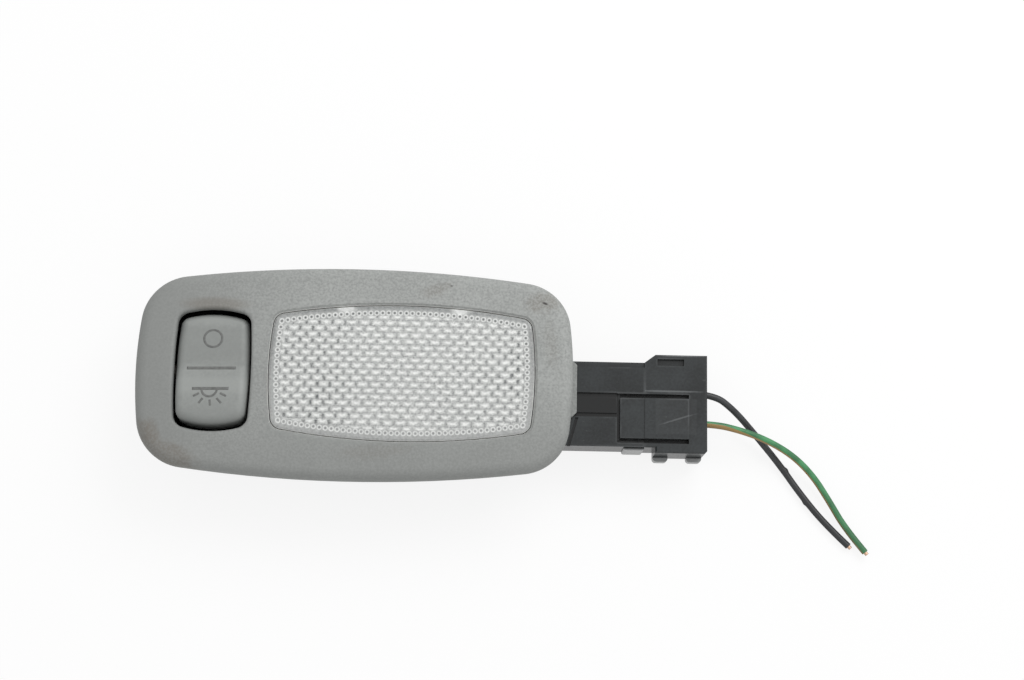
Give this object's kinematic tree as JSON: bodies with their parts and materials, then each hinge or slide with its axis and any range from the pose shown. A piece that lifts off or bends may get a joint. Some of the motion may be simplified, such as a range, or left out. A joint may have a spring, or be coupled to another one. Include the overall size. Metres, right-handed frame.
{
  "type": "car interior light",
  "caption": "Grey overhead car courtesy light with a ribbed clear lens over a festoon bulb, a rocker switch at one end and a wired plug at the other.",
  "frame": {"origin": "on the flat back of the rear housing, under the middle of the bezel", "axes": "+X along the length towards the connector, +Y across, +Z out of the lens into the cabin"},
  "size_m": [0.1644, 0.0601, 0.0223],
  "materials": {
    "grey_plastic": "fine grain, lightly soiled",
    "clear_lens": "clear moulded plastic, smooth outside",
    "button_plastic": "fine grain",
    "white_plastic": "smooth",
    "spring_steel": "drawn",
    "brass": "stamped",
    "silvered_contact": "plated",
    "bulb_glass": "clear",
    "cap_metal": "pressed",
    "filament_metal": "drawn",
    "dark_plastic": "matt",
    "plug_plastic": "matt, scuffed",
    "tinned_brass": "tinned",
    "black_sleeve": "smooth",
    "green_sleeve": "smooth, with a brown tracer"
  },
  "bodies": {
    "lamp": {"bezel": "grey_plastic", "lens": "clear_lens", "contact_rivet": "silvered_contact", "supply_busbar": "brass", "switch_busbar": "brass", "ground_busbar": "brass", "bulb_glass": "bulb_glass", "bulb_cap_left": "cap_metal", "bulb_cap_right": "cap_metal", "bulb_filament": "filament_metal", "reflector": "white_plastic", "rear_housing": "dark_plastic", "mounting_spring": "spring_steel", "plug_housing": "plug_plastic", "supply_terminal": "tinned_brass", "ground_terminal": "tinned_brass", "black_wire": "black_sleeve", "green_wire": "green_sleeve"},
    "rocker": {"rocker_button": "button_plastic", "switch_plunger": "white_plastic", "switch_spring": "spring_steel"},
    "contact": {"contact_blade": "brass"}
  },
  "joints": [
    {"name": "rocker_tilt", "type": "hinge", "parent": "lamp", "child": "rocker", "pos_m": [-0.031, 0, 0.0168], "axis": [1, 0, 0], "range_deg": [0, 14]},
    {"name": "contact_tilt", "type": "hinge", "parent": "lamp", "child": "contact", "pos_m": [-0.031, 0, 0.00794], "axis": [1, 0, 0], "range_deg": [-12, 0]}
  ],
  "couplings": [
    {"joint": "contact_tilt", "follows": "rocker_tilt", "ratio": -0.85714}
  ]
}
